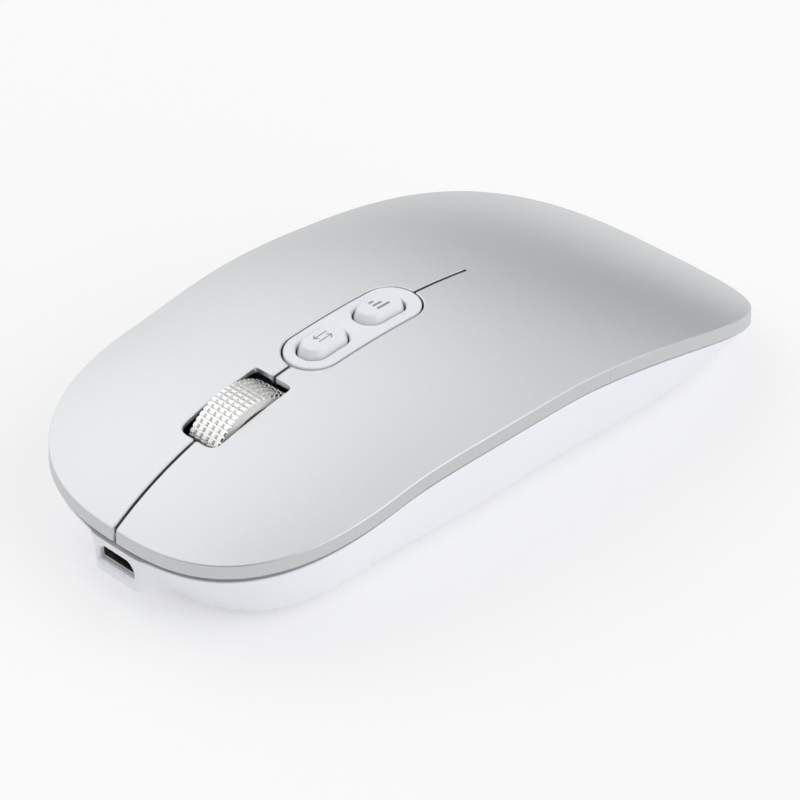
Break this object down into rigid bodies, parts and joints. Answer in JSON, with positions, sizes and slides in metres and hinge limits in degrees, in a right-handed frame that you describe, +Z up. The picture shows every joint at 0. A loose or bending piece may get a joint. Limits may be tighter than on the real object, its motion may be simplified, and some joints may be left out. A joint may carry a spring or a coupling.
{
  "type": "computer mouse",
  "caption": "Slim rechargeable wireless mouse: silver cover with two hinged keys, knurled scroll wheel, two top buttons, white lower shell and its working inside.",
  "frame": {"origin": "on the desk, under the middle of the mouse's length and width", "axes": "+Z up, the nose with the charging port towards -Y, the palm end towards +Y, +X on the side of the user's left button"},
  "size_m": [0.056, 0.1145, 0.0254],
  "materials": {
    "silver_paint": "satin metallic silver paint over a moulded plastic cover",
    "white_plastic": "satin-gloss white moulded plastic",
    "black_plastic": "matt black moulded plastic",
    "wheel_metal": "bright plated metal with a fine square knurl",
    "steel": "plain bright steel",
    "circuit_board": "green solder mask on glass-fibre board",
    "chip_black": "matt moulded chip package",
    "glide": "smooth grey PTFE sheet",
    "lens_clear": "clear moulded acrylic",
    "battery_foil": "soft grey aluminium pouch film",
    "amber_film": "amber polyimide film",
    "foam_black": "black double-sided foam tape",
    "wire_red": "red insulated wire",
    "wire_black": "black insulated wire",
    "contact_gold": "gold-plated contacts on a black carrier"
  },
  "bodies": {
    "base": {"palm_cover": "silver_paint", "bottom_shell": "white_plastic", "button_bezel": "white_plastic", "battery_plug": "white_plastic", "button_bracket": "black_plastic", "left_switch": "black_plastic", "right_switch": "black_plastic", "usb_port_tongue": "black_plastic", "encoder_detector": "black_plastic", "cradle_spring": "steel", "mode_switch": "steel", "dpi_switch": "steel", "middle_switch": "steel", "usb_port_shell": "steel", "power_switch": "steel", "crystal": "steel", "case_screw_1": "steel", "case_screw_2": "steel", "case_screw_3": "steel", "case_screw_4": "steel", "board_screw_1": "steel", "board_screw_2": "steel", "main_board": "circuit_board", "button_board": "circuit_board", "sensor_chip": "chip_black", "radio_chip": "chip_black", "charging_chip": "chip_black", "front_glide_foot": "glide", "rear_glide_foot": "glide", "sensor_lens": "lens_clear", "encoder_emitter": "lens_clear", "battery": "battery_foil", "ribbon_cable": "amber_film", "battery_tape": "foam_black", "battery_lead_red": "wire_red", "battery_lead_black": "wire_black"},
    "left_key": {"left_button": "silver_paint"},
    "right_key": {"right_button": "silver_paint"},
    "left_plunger": {"left_switch_plunger": "white_plastic"},
    "right_plunger": {"right_switch_plunger": "white_plastic"},
    "cradle": {"wheel_cradle": "black_plastic", "middle_switch_plunger": "black_plastic"},
    "wheel": {"wheel_rim": "wheel_metal", "wheel_hub": "black_plastic", "wheel_axle": "steel", "encoder_disc": "black_plastic"},
    "mode_key": {"mode_button": "white_plastic", "mode_switch_plunger": "black_plastic"},
    "dpi_key": {"dpi_button": "white_plastic", "dpi_switch_plunger": "black_plastic"},
    "power_knob": {"power_slider": "black_plastic"},
    "receiver": {"receiver_cap": "black_plastic", "receiver_plug": "steel", "receiver_contacts": "contact_gold"}
  },
  "joints": [
    {"name": "left_click", "type": "hinge", "parent": "base", "child": "left_key", "pos_m": [0, 0.0102, 0.0205], "axis": [1, 0, 0], "range_deg": [0, 0.6], "stiffness_Nm_per_rad": 25},
    {"name": "right_click", "type": "hinge", "parent": "base", "child": "right_key", "pos_m": [0, 0.0102, 0.0205], "axis": [1, 0, 0], "range_deg": [0, 0.6], "stiffness_Nm_per_rad": 25},
    {"name": "left_plunger_slide", "type": "slide", "parent": "base", "child": "left_plunger", "axis": [0, 0, -1], "range_m": [0, 0.00052]},
    {"name": "right_plunger_slide", "type": "slide", "parent": "base", "child": "right_plunger", "axis": [0, 0, -1], "range_m": [0, 0.00052]},
    {"name": "wheel_press", "type": "slide", "parent": "base", "child": "cradle", "axis": [0, 0, -1], "range_m": [0, 0.0005], "stiffness_N_per_m": 600, "springref_m": -0.0006, "deforming": ["cradle_spring"]},
    {"name": "wheel_spin", "type": "hinge", "parent": "cradle", "child": "wheel", "pos_m": [0, -0.0333, 0.0135], "axis": [1, 0, 0], "continuous": true},
    {"name": "mode_press", "type": "slide", "parent": "base", "child": "mode_key", "axis": [0, 0, -1], "range_m": [0, 0.0004], "stiffness_N_per_m": 800, "springref_m": -0.0004},
    {"name": "dpi_press", "type": "slide", "parent": "base", "child": "dpi_key", "axis": [0, 0, -1], "range_m": [0, 0.0004], "stiffness_N_per_m": 800, "springref_m": -0.0004},
    {"name": "power_slide", "type": "slide", "parent": "base", "child": "power_knob", "axis": [1, 0, 0], "range_m": [0, 0.002]},
    {"name": "receiver_pull", "type": "slide", "parent": "base", "child": "receiver", "axis": [0, 0, -1], "range_m": [0, 0.012]}
  ],
  "couplings": [
    {"joint": "left_plunger_slide", "follows": "left_click", "m_per_rad": 0.0487},
    {"joint": "right_plunger_slide", "follows": "right_click", "m_per_rad": 0.0487}
  ]
}
